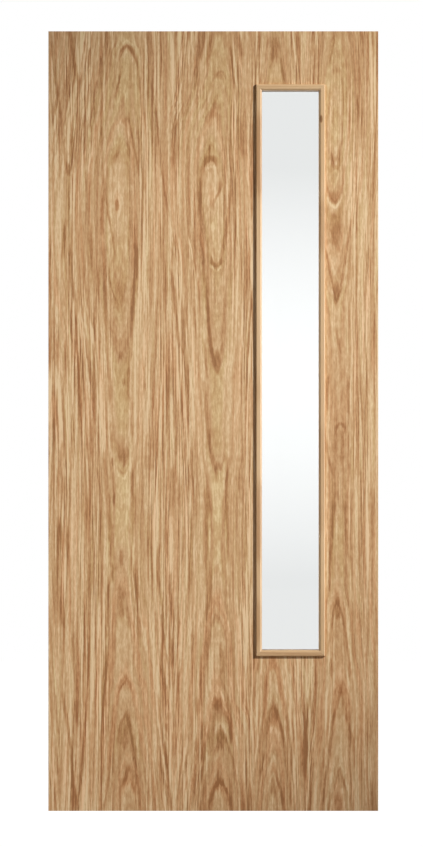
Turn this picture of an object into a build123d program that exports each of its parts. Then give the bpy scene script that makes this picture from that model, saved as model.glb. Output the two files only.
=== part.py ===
from build123d import *

import os

# Flush oak-veneered interior door leaf with one tall narrow glazed vision panel.
#
# Millimetres.  +Z is up, +X runs from the hinge edge to the lock edge, and the
# front face looks along -Y.  The origin is on the hinge edge, at the foot of the
# leaf and half way through its thickness.
#
# The leaf is built up as a solid-core door is made: a chipboard core inside a
# softwood frame of two stiles and two rails, oak lippings glued down both long
# edges, a thin fibreboard skin pressed over each side, and an oak veneer over
# each skin.  One tall aperture is cut right through near the lock edge.  A pane
# of glass stands half way through it between two rings of glazing tape, and is
# held by four mitred oak beads on each face, whose lips stand proud of the leaf
# and lap over the cut edge.

os.makedirs("parts", exist_ok=True)

# ---------------------------------------------------------------- the leaf
LEAF_W = 838.0  # hinge edge to lock edge
LEAF_H = 1981.0  # foot to head
LEAF_T = 44.0  # veneer face to veneer face
VENEER_T = 0.6  # oak veneer on each face
SKIN_T = 3.0  # fibreboard skin under each veneer
LIPPING_T = 8.0  # oak lipping down each long edge
STILE_W = 32.0  # softwood stile inside each lipping
RAIL_H = 44.0  # softwood rail at head and foot
ARRIS = 0.3  # sanded arris round the rim of each veneer
FRAME_T = LEAF_T - 2 * (VENEER_T + SKIN_T)  # core, stiles, rails and lippings

# ---------------------------------------------------------- the vision panel
SIGHT_W = 145.0  # clear glass seen between the beads
SIGHT_H = 1422.0
BEAD_FACE = 15.5  # whole width of a bead seen from in front
BEAD_LIP = 6.0  # of that, what laps over the face of the leaf
BEAD_PROUD = 7.5  # how far the bead stands out from the face
BEAD_SPLAY = 4.4  # width of the slope down towards the glass
BEAD_SPLAY_DEPTH = 2.6  # depth of that slope
BEAD_ROUND = 3.0  # rounding of the bead's outer arris
BEAD_SOFT = 1.2  # softening where the flat turns into the slope
MITRE_GAP = 0.2  # hairline left open at each mitre
MARGIN_LOCK = 135.0  # bead's outer edge to the lock edge
MARGIN_HEAD = 135.0  # bead's outer edge to the head of the leaf
GLASS_T = 6.4
TAPE_T = 2.4  # glazing tape on each side of the glass
TAPE_BACK = 0.8  # tape stops this far short of the sight line
GLASS_CLEAR = 3.0  # room round the edge of the glass

# ------------------------------------------------------------ derived places
HALF_T = LEAF_T / 2
OUTER_X1 = LEAF_W - MARGIN_LOCK
OUTER_X0 = OUTER_X1 - SIGHT_W - 2 * BEAD_FACE
OUTER_Z1 = LEAF_H - MARGIN_HEAD
OUTER_Z0 = OUTER_Z1 - SIGHT_H - 2 * BEAD_FACE
MID_X = (OUTER_X0 + OUTER_X1) / 2
MID_Z = (OUTER_Z0 + OUTER_Z1) / 2
APERTURE_W = SIGHT_W + 2 * (BEAD_FACE - BEAD_LIP)
APERTURE_H = SIGHT_H + 2 * (BEAD_FACE - BEAD_LIP)
GLASS_W = APERTURE_W - 2 * GLASS_CLEAR
GLASS_H = APERTURE_H - 2 * GLASS_CLEAR
BEAD_BACK = -(HALF_T - GLASS_T / 2 - TAPE_T)  # bead's inner end, from the face

# Elevation planes look along +Y: local x is the row's X and local y its Z.
FRONT_FACE = Plane(origin=(0, -HALF_T, 0), x_dir=(1, 0, 0), z_dir=(0, -1, 0))
FRONT_SKIN = Plane(
    origin=(0, -HALF_T + VENEER_T, 0), x_dir=(1, 0, 0), z_dir=(0, -1, 0)
)
FRONT_FRAME = Plane(origin=(0, -FRAME_T / 2, 0), x_dir=(1, 0, 0), z_dir=(0, -1, 0))


# ------------------------------------------------- core, frame and lippings
with BuildPart() as chipboard_core:
    with BuildSketch(FRONT_FRAME):
        with Locations((LEAF_W / 2, LEAF_H / 2)):
            Rectangle(LEAF_W - 2 * (LIPPING_T + STILE_W), LEAF_H - 2 * RAIL_H)
        with Locations((MID_X, MID_Z)):
            Rectangle(APERTURE_W, APERTURE_H, mode=Mode.SUBTRACT)
    extrude(amount=-FRAME_T)
chipboard_core.part.label = "chipboard_core"

with BuildPart() as hinge_stile:
    with BuildSketch(Plane.XY):
        with Locations((LIPPING_T + STILE_W / 2, 0)):
            Rectangle(STILE_W, FRAME_T)
    extrude(amount=LEAF_H)
hinge_stile.part.label = "hinge_stile"

with BuildPart() as lock_stile:
    with BuildSketch(Plane.XY):
        with Locations((LEAF_W - LIPPING_T - STILE_W / 2, 0)):
            Rectangle(STILE_W, FRAME_T)
    extrude(amount=LEAF_H)
lock_stile.part.label = "lock_stile"

with BuildPart() as bottom_rail:
    with BuildSketch(Plane.XY):
        with Locations((LEAF_W / 2, 0)):
            Rectangle(LEAF_W - 2 * (LIPPING_T + STILE_W), FRAME_T)
    extrude(amount=RAIL_H)
bottom_rail.part.label = "bottom_rail"

with BuildPart() as top_rail:
    with BuildSketch(Plane.XY.offset(LEAF_H - RAIL_H)):
        with Locations((LEAF_W / 2, 0)):
            Rectangle(LEAF_W - 2 * (LIPPING_T + STILE_W), FRAME_T)
    extrude(amount=RAIL_H)
top_rail.part.label = "top_rail"

with BuildPart() as hinge_lipping:
    with BuildSketch(Plane.XY):
        with Locations((LIPPING_T / 2, 0)):
            Rectangle(LIPPING_T, FRAME_T)
    extrude(amount=LEAF_H)
hinge_lipping.part.label = "hinge_lipping"

with BuildPart() as lock_lipping:
    with BuildSketch(Plane.XY):
        with Locations((LEAF_W - LIPPING_T / 2, 0)):
            Rectangle(LIPPING_T, FRAME_T)
    extrude(amount=LEAF_H)
lock_lipping.part.label = "lock_lipping"


# ------------------------------------------------------- skins and veneers
with BuildPart() as front_skin:
    with BuildSketch(FRONT_SKIN):
        with Locations((LEAF_W / 2, LEAF_H / 2)):
            Rectangle(LEAF_W, LEAF_H)
        with Locations((MID_X, MID_Z)):
            Rectangle(APERTURE_W, APERTURE_H, mode=Mode.SUBTRACT)
    extrude(amount=-SKIN_T)
front_skin.part.label = "front_skin"

with BuildPart() as back_skin:
    mirror(front_skin.part, about=Plane.XZ)
back_skin.part.label = "back_skin"

with BuildPart() as front_veneer:
    with BuildSketch(FRONT_FACE):
        with Locations((LEAF_W / 2, LEAF_H / 2)):
            Rectangle(LEAF_W, LEAF_H)
        with Locations((MID_X, MID_Z)):
            Rectangle(APERTURE_W, APERTURE_H, mode=Mode.SUBTRACT)
    extrude(amount=-VENEER_T)
    # The face's rim alone is eased: the four outermost edges of the front face.
    face_edges = front_veneer.faces().sort_by(Axis.Y)[0].outer_wire().edges()
    chamfer(face_edges, length=ARRIS)
front_veneer.part.label = "front_veneer"

with BuildPart() as back_veneer:
    mirror(front_veneer.part, about=Plane.XZ)
back_veneer.part.label = "back_veneer"


# ------------------------------------------------------ glass and its tapes
with BuildPart() as glass_pane:
    with BuildSketch(Plane(origin=(0, -GLASS_T / 2, 0), x_dir=(1, 0, 0), z_dir=(0, -1, 0))):
        with Locations((MID_X, MID_Z)):
            Rectangle(GLASS_W, GLASS_H)
    extrude(amount=-GLASS_T)
    chamfer(glass_pane.edges().filter_by(Axis.Y, reverse=True), length=0.5)
glass_pane.part.label = "glass_pane"

with BuildPart() as front_glazing_tape:
    with BuildSketch(
        Plane(origin=(0, -GLASS_T / 2, 0), x_dir=(1, 0, 0), z_dir=(0, -1, 0))
    ):
        with Locations((MID_X, MID_Z)):
            Rectangle(GLASS_W - 1.2, GLASS_H - 1.2)
            Rectangle(
                SIGHT_W + 2 * TAPE_BACK, SIGHT_H + 2 * TAPE_BACK, mode=Mode.SUBTRACT
            )
    extrude(amount=TAPE_T)
front_glazing_tape.part.label = "front_glazing_tape"

with BuildPart() as back_glazing_tape:
    mirror(front_glazing_tape.part, about=Plane.XZ)
back_glazing_tape.part.label = "back_glazing_tape"


# ------------------------------------------------------------ glazing beads
# One section serves all eight.  u runs from the bead's outer edge towards the
# middle of the glass, v from the face of the leaf outwards.
BEAD_SECTION = [
    (0, 0),
    (BEAD_LIP, 0),
    (BEAD_LIP, BEAD_BACK),
    (BEAD_FACE, BEAD_BACK),
    (BEAD_FACE, BEAD_PROUD - BEAD_SPLAY_DEPTH),
    (BEAD_FACE - BEAD_SPLAY, BEAD_PROUD),
    (0, BEAD_PROUD),
]

# A bead's section stands on a plane square to its run: x_dir is u, and the
# plane's own y is v, which points out of the front face along -Y.
HINGE_RUN = Plane(origin=(OUTER_X0, -HALF_T, OUTER_Z1), x_dir=(1, 0, 0), z_dir=(0, 0, -1))
LOCK_RUN = Plane(origin=(OUTER_X1, -HALF_T, OUTER_Z0), x_dir=(-1, 0, 0), z_dir=(0, 0, 1))
HEAD_RUN = Plane(origin=(OUTER_X1, -HALF_T, OUTER_Z1), x_dir=(0, 0, -1), z_dir=(-1, 0, 0))
FOOT_RUN = Plane(origin=(OUTER_X0, -HALF_T, OUTER_Z0), x_dir=(0, 0, 1), z_dir=(1, 0, 0))

OUTER_W = OUTER_X1 - OUTER_X0
OUTER_H = OUTER_Z1 - OUTER_Z0


def mitre(corner_x, corner_z, toward_x, toward_z):
    """Mitre plane through an outer corner, facing along (toward_x, toward_z)."""
    normal = Vector(toward_x, 0, toward_z).normalized()
    origin = Vector(corner_x, 0, corner_z) + normal * (MITRE_GAP / 2)
    return Plane(origin=origin, x_dir=(0, 1, 0), z_dir=normal)


with BuildPart() as front_bead_hinge_side:
    with BuildSketch(HINGE_RUN) as section:
        with BuildLine():
            Polyline(*BEAD_SECTION, close=True)
        make_face()
        fillet(section.vertices().sort_by(Axis.Y)[-2:].sort_by(Axis.X)[0], BEAD_ROUND)
        fillet(section.vertices().group_by(Axis.Y)[-1].sort_by(Axis.X)[-1], BEAD_SOFT)
    extrude(amount=OUTER_H)
    split(bisect_by=mitre(OUTER_X0, OUTER_Z1, -1, -1), keep=Keep.TOP)
    split(bisect_by=mitre(OUTER_X0, OUTER_Z0, -1, 1), keep=Keep.TOP)
front_bead_hinge_side.part.label = "front_bead_hinge_side"

with BuildPart() as front_bead_lock_side:
    with BuildSketch(LOCK_RUN) as section:
        with BuildLine():
            Polyline(*BEAD_SECTION, close=True)
        make_face()
        fillet(section.vertices().sort_by(Axis.Y)[-2:].sort_by(Axis.X)[0], BEAD_ROUND)
        fillet(section.vertices().group_by(Axis.Y)[-1].sort_by(Axis.X)[-1], BEAD_SOFT)
    extrude(amount=OUTER_H)
    split(bisect_by=mitre(OUTER_X1, OUTER_Z1, 1, -1), keep=Keep.TOP)
    split(bisect_by=mitre(OUTER_X1, OUTER_Z0, 1, 1), keep=Keep.TOP)
front_bead_lock_side.part.label = "front_bead_lock_side"

with BuildPart() as front_bead_head:
    with BuildSketch(HEAD_RUN) as section:
        with BuildLine():
            Polyline(*BEAD_SECTION, close=True)
        make_face()
        fillet(section.vertices().sort_by(Axis.Y)[-2:].sort_by(Axis.X)[0], BEAD_ROUND)
        fillet(section.vertices().group_by(Axis.Y)[-1].sort_by(Axis.X)[-1], BEAD_SOFT)
    extrude(amount=OUTER_W)
    split(bisect_by=mitre(OUTER_X0, OUTER_Z1, 1, 1), keep=Keep.TOP)
    split(bisect_by=mitre(OUTER_X1, OUTER_Z1, -1, 1), keep=Keep.TOP)
front_bead_head.part.label = "front_bead_head"

with BuildPart() as front_bead_foot:
    with BuildSketch(FOOT_RUN) as section:
        with BuildLine():
            Polyline(*BEAD_SECTION, close=True)
        make_face()
        fillet(section.vertices().sort_by(Axis.Y)[-2:].sort_by(Axis.X)[0], BEAD_ROUND)
        fillet(section.vertices().group_by(Axis.Y)[-1].sort_by(Axis.X)[-1], BEAD_SOFT)
    extrude(amount=OUTER_W)
    split(bisect_by=mitre(OUTER_X0, OUTER_Z0, 1, -1), keep=Keep.TOP)
    split(bisect_by=mitre(OUTER_X1, OUTER_Z0, -1, -1), keep=Keep.TOP)
front_bead_foot.part.label = "front_bead_foot"

with BuildPart() as back_bead_hinge_side:
    mirror(front_bead_hinge_side.part, about=Plane.XZ)
back_bead_hinge_side.part.label = "back_bead_hinge_side"

with BuildPart() as back_bead_lock_side:
    mirror(front_bead_lock_side.part, about=Plane.XZ)
back_bead_lock_side.part.label = "back_bead_lock_side"

with BuildPart() as back_bead_head:
    mirror(front_bead_head.part, about=Plane.XZ)
back_bead_head.part.label = "back_bead_head"

with BuildPart() as back_bead_foot:
    mirror(front_bead_foot.part, about=Plane.XZ)
back_bead_foot.part.label = "back_bead_foot"


# -------------------------------------------------------------------- export
export_step(chipboard_core.part, "parts/chipboard_core.step")
export_step(hinge_stile.part, "parts/hinge_stile.step")
export_step(lock_stile.part, "parts/lock_stile.step")
export_step(bottom_rail.part, "parts/bottom_rail.step")
export_step(top_rail.part, "parts/top_rail.step")
export_step(hinge_lipping.part, "parts/hinge_lipping.step")
export_step(lock_lipping.part, "parts/lock_lipping.step")
export_step(front_skin.part, "parts/front_skin.step")
export_step(back_skin.part, "parts/back_skin.step")
export_step(front_veneer.part, "parts/front_veneer.step")
export_step(back_veneer.part, "parts/back_veneer.step")
export_step(glass_pane.part, "parts/glass_pane.step")
export_step(front_glazing_tape.part, "parts/front_glazing_tape.step")
export_step(back_glazing_tape.part, "parts/back_glazing_tape.step")
export_step(front_bead_hinge_side.part, "parts/front_bead_hinge_side.step")
export_step(front_bead_lock_side.part, "parts/front_bead_lock_side.step")
export_step(front_bead_head.part, "parts/front_bead_head.step")
export_step(front_bead_foot.part, "parts/front_bead_foot.step")
export_step(back_bead_hinge_side.part, "parts/back_bead_hinge_side.step")
export_step(back_bead_lock_side.part, "parts/back_bead_lock_side.step")
export_step(back_bead_head.part, "parts/back_bead_head.step")
export_step(back_bead_foot.part, "parts/back_bead_foot.step")
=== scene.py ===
"""Looks of the oak-veneered interior door leaf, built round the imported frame.

Metres, in the row frame: +X from the hinge edge to the lock edge, -Y out of the
front face, +Z up.  Every finish is procedural and is placed by object coordinates.
"""

import math

import bpy
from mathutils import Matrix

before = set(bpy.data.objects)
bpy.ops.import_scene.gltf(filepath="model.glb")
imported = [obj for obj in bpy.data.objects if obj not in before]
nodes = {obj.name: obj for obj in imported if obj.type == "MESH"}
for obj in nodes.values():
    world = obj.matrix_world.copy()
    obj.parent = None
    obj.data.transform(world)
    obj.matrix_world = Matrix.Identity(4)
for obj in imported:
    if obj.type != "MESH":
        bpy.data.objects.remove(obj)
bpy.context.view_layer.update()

LEAF_W, LEAF_H = 0.838, 1.981


# ------------------------------------------------------------------ node tools
def lin(r, g, b):
    """A display colour, 0 to 255, as the linear colour a shader takes."""

    def one(c):
        c /= 255.0
        return c / 12.92 if c <= 0.04045 else ((c + 0.055) / 1.055) ** 2.4

    return (one(r), one(g), one(b), 1.0)


class Net:
    """Short names for building one material's nodes."""

    def __init__(self, name):
        self.mat = bpy.data.materials.new(name)
        self.mat.use_nodes = True
        self.nt = self.mat.node_tree
        self.nt.nodes.clear()
        self.out = self.nt.nodes.new("ShaderNodeOutputMaterial")

    def put(self, socket, value):
        if hasattr(value, "is_linked"):
            self.nt.links.new(value, socket)
        else:
            socket.default_value = value

    def m(self, op, a, b=None, c=None, clamp=False):
        n = self.nt.nodes.new("ShaderNodeMath")
        n.operation = op
        n.use_clamp = clamp
        for s, v in zip(n.inputs, (a, b, c)):
            if v is not None:
                self.put(s, v)
        return n.outputs[0]

    def add(self, a, b):
        return self.m("ADD", a, b)

    def sub(self, a, b):
        return self.m("SUBTRACT", a, b)

    def mul(self, a, b):
        return self.m("MULTIPLY", a, b)

    def mad(self, a, b, c):
        return self.m("MULTIPLY_ADD", a, b, c)

    def sat(self, a):
        return self.m("ADD", a, 0.0, clamp=True)

    def step(self, value, lo, hi, a=0.0, b=1.0):
        """Smooth step of value from lo to hi, mapped to a..b."""
        n = self.nt.nodes.new("ShaderNodeMapRange")
        n.interpolation_type = "SMOOTHSTEP"
        self.put(n.inputs["Value"], value)
        self.put(n.inputs["From Min"], lo)
        self.put(n.inputs["From Max"], hi)
        self.put(n.inputs["To Min"], a)
        self.put(n.inputs["To Max"], b)
        return n.outputs[0]

    def remap(self, value, lo, hi, a=0.0, b=1.0):
        n = self.nt.nodes.new("ShaderNodeMapRange")
        self.put(n.inputs["Value"], value)
        self.put(n.inputs["From Min"], lo)
        self.put(n.inputs["From Max"], hi)
        self.put(n.inputs["To Min"], a)
        self.put(n.inputs["To Max"], b)
        return n.outputs[0]

    def place(self):
        """Object coordinates, split."""
        n = self.nt.nodes.new("ShaderNodeTexCoord")
        s = self.nt.nodes.new("ShaderNodeSeparateXYZ")
        self.nt.links.new(n.outputs["Object"], s.inputs[0])
        return s.outputs[0], s.outputs[1], s.outputs[2]

    def vec(self, x=0.0, y=0.0, z=0.0):
        n = self.nt.nodes.new("ShaderNodeCombineXYZ")
        for s, v in zip(n.inputs, (x, y, z)):
            self.put(s, v)
        return n.outputs[0]

    def noise2(self, x, z, sx, sz, seed=0.0, detail=2.0, rough=0.5, centred=True):
        """Noise stretched to sx and sz cycles a metre; -1..1 if centred, else 0..1."""
        n = self.nt.nodes.new("ShaderNodeTexNoise")
        n.noise_dimensions = "2D"
        v = self.vec(self.mad(x, sx, seed * 7.31 + 3.7), self.mad(z, sz, seed * 3.17 + 1.9), 0.0)
        self.put(n.inputs["Vector"], v)
        n.inputs["Scale"].default_value = 1.0
        n.inputs["Detail"].default_value = detail
        n.inputs["Roughness"].default_value = rough
        return self.mad(n.outputs[0], 2.0, -1.0) if centred else n.outputs[0]

    def noise3(self, x, y, z, sx, sy, sz, seed=0.0, detail=2.0, rough=0.5, centred=True):
        n = self.nt.nodes.new("ShaderNodeTexNoise")
        n.noise_dimensions = "3D"
        v = self.vec(
            self.mad(x, sx, seed * 7.31 + 3.7),
            self.mad(y, sy, seed * 5.03 + 2.3),
            self.mad(z, sz, seed * 3.17 + 1.9),
        )
        self.put(n.inputs["Vector"], v)
        n.inputs["Scale"].default_value = 1.0
        n.inputs["Detail"].default_value = detail
        n.inputs["Roughness"].default_value = rough
        return self.mad(n.outputs[0], 2.0, -1.0) if centred else n.outputs[0]

    def dice(self, w):
        """White noise of one number, 0..1."""
        n = self.nt.nodes.new("ShaderNodeTexWhiteNoise")
        n.noise_dimensions = "1D"
        self.put(n.inputs["W"], w)
        return n.outputs["Value"]

    def curve(self, u, points, lo, hi, handles="AUTO"):
        """Curve through points (u, value), u from 0 to 1 and value from lo to hi."""
        n = self.nt.nodes.new("ShaderNodeFloatCurve")
        self.put(n.inputs["Value"], u)
        pts = n.mapping.curves[0].points
        pts[0].location = (points[0][0], (points[0][1] - lo) / (hi - lo))
        pts[1].location = (points[-1][0], (points[-1][1] - lo) / (hi - lo))
        for a, b in points[1:-1]:
            pts.new(a, (b - lo) / (hi - lo))
        for p in pts:
            p.handle_type = handles
        n.mapping.update()
        return self.mad(n.outputs[0], hi - lo, lo)

    def arch(self, x, z, x0, z0, wide, drop, half):
        """1 along an arch topped at (x0, z0), whose legs end wide to each side and drop lower."""
        k = drop / (wide * wide)
        dx = self.sub(x, x0)
        lean = self.mul(dx, 2.0 * k)
        off = self.m("ABSOLUTE", self.mad(self.mul(dx, dx), k, self.sub(z, z0)))
        off = self.m("DIVIDE", off, self.m("SQRT", self.mad(lean, lean, 1.0)))
        ends = self.step(self.m("ABSOLUTE", dx), 0.75 * wide, 1.1 * wide, 1.0, 0.0)
        return self.mul(self.step(off, 0.45 * half, 1.35 * half, 1.0, 0.0), ends)

    def dash(self, x, z, x0, z0, half, long):
        """1 in a small upright patch, half wide and long high each way from (x0, z0)."""
        a = self.mad(x, 1.0 / half, -x0 / half)
        b = self.mad(z, 1.0 / long, -z0 / long)
        return self.step(self.mad(a, a, self.mul(b, b)), 0.35, 1.35, 1.0, 0.0)

    def facing(self, axis):
        """1 where the surface faces along that axis, else 0."""
        n = self.nt.nodes.new("ShaderNodeTexCoord")
        s = self.nt.nodes.new("ShaderNodeSeparateXYZ")
        self.nt.links.new(n.outputs["Normal"], s.inputs[0])
        return self.step(self.m("ABSOLUTE", s.outputs["xyz".index(axis)]), 0.75, 0.85)

    def lerp(self, fac, a, b):
        return self.mad(self.sub(b, a), fac, a)

    def ramp(self, value, stops):
        n = self.nt.nodes.new("ShaderNodeValToRGB")
        self.put(n.inputs[0], value)
        e = n.color_ramp.elements
        e[0].position, e[0].color = stops[0]
        e[1].position, e[1].color = stops[-1]
        for pos, col in stops[1:-1]:
            e.new(pos).color = col
        return n.outputs[0]

    def mix(self, fac, a, b, kind="MIX"):
        n = self.nt.nodes.new("ShaderNodeMix")
        n.data_type = "RGBA"
        n.blend_type = kind
        self.put(n.inputs[0], fac)
        self.put(n.inputs[6], a)
        self.put(n.inputs[7], b)
        return n.outputs[2]

    def grey(self, value):
        n = self.nt.nodes.new("ShaderNodeCombineColor")
        for s in n.inputs[:3]:
            self.put(s, value)
        return n.outputs[0]

    def surface(self, colour, rough, bump=None, distance=0.001, strength=1.0, **plain):
        p = self.nt.nodes.new("ShaderNodeBsdfPrincipled")
        self.put(p.inputs["Base Color"], colour)
        self.put(p.inputs["Roughness"], rough)
        for k, v in plain.items():
            p.inputs[k.replace("_", " ")].default_value = v
        if bump is not None:
            b = self.nt.nodes.new("ShaderNodeBump")
            b.inputs["Strength"].default_value = strength
            b.inputs["Distance"].default_value = distance
            self.put(b.inputs["Height"], bump)
            self.nt.links.new(b.outputs[0], p.inputs["Normal"])
        self.nt.links.new(p.outputs[0], self.out.inputs["Surface"])
        return self.mat


# ------------------------------------------------------------ the face veneer
# The figure is a map of heights cut into rings.  Each crown of the figure is a
# ridge: its crest runs up the leaf along a wandering line, and the ring number on
# the crest, given at heights down the leaf, sets where arches point up or down.
# Heights and places of the crowns are in millimetres, from the foot and from the
# hinge edge.
PX, PZ = 2.5432, 2.5391  # scale of the two lists below, millimetres to a unit


def crest_points(rows):
    """(unit down the leaf, value) rows as curve points, foot first."""
    return sorted(((811.2 - y) * PZ / 1981.0, v) for y, v in rows)


CROWNS = [
    # place of the crest, ring number on the crest, ring spacing, roundness
    dict(
        at=[(31, 22), (400, 20), (811, 26)],
        ring=[(31, -5.2), (90, -4.4), (160, -3.4), (240, -2.6), (330, -3.4), (430, -4.6), (520, -5.3), (620, -4.4), (700, -3.2), (760, -2.2), (811, -1.4)],
        gap=0.0128, round=0.012,
    ),
    dict(
        at=[(31, 127), (47, 126.6), (100, 122.5), (144, 120), (206, 117.5), (303, 119.6), (357, 122), (436, 123), (475, 123.4), (560, 121), (632, 123), (682, 125), (716, 126), (768, 128), (811, 129)],
        ring=[(31, 0.05), (41, 0.2), (52, 0.8), (62, 1.0), (84, 1.12), (98, 1.36), (116, 1.52), (127, 1.95), (139, 2.2), (147, 2.52), (154, 2.75), (164, 2.84), (180, 2.96), (203, 3.14), (230, 3.12), (255, 2.96), (280, 2.74), (298, 2.48), (322, 2.0), (348, 1.5), (385, 1.05), (420, 0.95), (456, 0.5), (486, 0.02), (535, -0.06), (557, 0.28), (572, 0.1), (590, 0.38), (612, 0.55), (630, 0.85), (645, 1.02), (672, 1.15), (682, 1.5), (696, 1.95), (716, 2.25), (735, 2.55), (757, 2.95), (768, 3.25), (777, 3.5), (792, 3.95), (811, 4.2)],
        gap=0.0125, round=0.036,
    ),
    dict(
        at=[(31, 219), (72, 218), (95, 217), (150, 210.5), (185, 211.5), (231, 213.5), (265, 216.6), (368, 217), (475, 217.8), (630, 217.8), (696, 216.6), (730, 220), (780, 218), (811, 217)],
        ring=[(31, -0.35), (55, 0.1), (72, 0.42), (86, 0.95), (107, 1.5), (130, 2.0), (153, 2.52), (167, 3.0), (186, 3.22), (208, 3.05), (235, 2.8), (252, 2.72), (264, 2.48), (277, 2.02), (322, 1.95), (345, 1.75), (362, 1.5), (378, 1.05), (400, 0.98), (436, 0.85), (448, 0.92), (466, 0.5), (487, 0.02), (530, -0.25), (570, -0.1), (603, 0.1), (620, 0.5), (640, 0.98), (668, 1.08), (690, 1.2), (703, 1.5), (720, 2.0), (738, 2.5), (757, 2.98), (770, 3.1), (783, 3.5), (795, 3.98), (811, 4.2)],
        gap=0.0125, round=0.034,
    ),
    dict(
        at=[(31, 275), (66, 276), (400, 272), (668, 273), (728, 274.5), (775, 273), (811, 272)],
        ring=[(31, -1.75), (47, -1.5), (60, -1.2), (72, -1.0), (90, -0.6), (200, 1.0), (330, 0.4), (480, -1.6), (600, -2.2), (648, -1.6), (664, -1.45), (676, -1.03), (692, -0.85), (702, -0.55), (714, -0.4), (727, 0.0), (740, 0.2), (752, 0.5), (768, 0.95), (782, 1.35), (811, 1.9)],
        gap=0.0105, round=0.022,
    ),
    dict(
        at=[(31, 338), (100, 337), (161, 335), (194, 335), (300, 336), (450, 339), (606, 337.7), (650, 339), (688, 341.6), (766, 338), (811, 337)],
        ring=[(31, -0.4), (60, 0.3), (95, 0.95), (130, 1.05), (150, 0.75), (160, 0.45), (172, 0.05), (185, -0.2), (195, -0.5), (207, -1.0), (216, -1.25), (238, -1.5), (252, -1.85), (266, -2.05), (280, -2.25), (290, -2.55), (302, -2.95), (322, -3.08), (420, -3.14), (520, -3.1), (575, -3.0), (592, -2.8), (603, -2.5), (616, -2.08), (650, -1.95), (676, -1.8), (689, -1.5), (702, -1.05), (740, -0.92), (762, -0.75), (773, -0.5), (790, 0.0), (811, 0.4)],
        gap=0.0115, round=0.026,
    ),
]


# Marks that stand out on the front face, in the same units.  Arches cap a crown (place
# of the top, reach to each side, drop of the legs, half thickness, strength), and those
# with a drop below nothing are cups.  Patches are upright (place, first and last height,
# half width, strength), and all but the last two are small.  Strength below nothing is pale.
# The last two, broad and near the lock edge low down, are painted shade (the darker, higher
# one) and painted light (the paler one at the foot).
ARCHES = [
    (127.2, 46.8, 8.4, 10.5, 2.4, 0.42), (127.0, 41.0, 9.0, 13.0, 1.1, -0.14), (127.0, 53.0, 6.0, 8.0, 1.2, -0.12),
    (220.8, 71.0, 5.6, 7.0, 1.2, 0.20), (210.4, 158.0, 6.8, 5.0, 3.2, 0.46), (211.0, 166.5, 6.0, 3.0, 1.3, -0.16),
    (216.4, 265.0, 6.4, -7.0, 2.3, 0.40), (216.4, 270.4, 6.6, -7.0, 1.2, -0.20), (123.0, 473.0, 5.2, -6.0, 1.4, 0.24),
    (123.0, 478.0, 5.4, -6.0, 1.3, -0.16), (335.6, 167.0, 4.9, -12.5, 2.0, 0.32), (334.6, 202.0, 9.0, -18.0, 1.9, 0.24),
    (334.6, 207.0, 8.6, -17.0, 1.3, -0.22), (340.4, 424.0, 6.4, 9.0, 1.8, 0.34), (219.6, 783.0, 5.0, 3.0, 2.4, 0.30),
    (220.4, 724.0, 6.0, 13.0, 1.5, -0.18), (273.0, 728.0, 6.5, 16.0, 1.5, -0.16), (339.4, 766.0, 5.0, 13.0, 1.2, -0.16),
]
PATCHES = [
    (117.2, 199.0, 212.0, 2.1, 0.52), (119.9, 199.0, 215.0, 1.2, -0.18), (121.2, 276.0, 306.0, 5.4, 0.16), (121.0, 350.0, 359.0, 2.4, 0.26),
    (123.8, 377.0, 386.0, 1.7, 0.24), (122.4, 436.0, 474.0, 4.6, 0.20), (112.6, 457.0, 466.0, 1.1, 0.46), (114.2, 490.0, 506.0, 1.4, 0.34),
    (121.6, 548.0, 569.0, 2.2, 0.38), (121.2, 579.0, 603.0, 3.6, 0.20), (121.0, 602.0, 622.0, 3.0, 0.18), (124.8, 721.0, 750.0, 5.0, 0.16),
    (68.4, 162.0, 176.0, 2.2, 0.30), (69.6, 196.0, 210.0, 1.2, 0.28), (209.5, 143.0, 157.0, 1.3, 0.36), (213.0, 222.0, 233.0, 2.0, -0.22),
    (217.4, 349.0, 375.0, 3.6, 0.32), (214.8, 424.0, 447.0, 4.6, 0.14), (219.2, 694.0, 714.0, 5.6, 0.15), (221.0, 731.0, 751.0, 4.2, 0.22),
    (218.0, 767.0, 782.0, 1.4, 0.32), (335.2, 189.0, 203.0, 4.8, 0.20), (336.2, 206.0, 255.0, 5.4, 0.22), (336.4, 280.0, 303.0, 3.4, 0.34),
    (339.0, 428.0, 470.0, 6.0, 0.16), (337.6, 597.0, 621.0, 3.0, 0.42), (330.8, 657.0, 678.0, 1.5, 0.40), (340.6, 690.0, 721.0, 3.6, 0.18),
    (339.4, 773.0, 791.0, 3.2, 0.18), (338.6, 793.0, 813.0, 4.6, 0.26), (273.0, 705.0, 727.0, 5.0, 0.24), (275.0, 37.0, 67.0, 3.4, 0.22),
    # The last two patches here are painted shade (darker) and painted light (paler) near the lock edge, low on the
    # leaf.
    (304.6, 728.0, 781.0, 2.9, 0.48), (352.0, 603.0, 674.0, 24.0, 0.10), (352.0, 742.0, 822.0, 27.0, -0.06),
]
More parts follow.
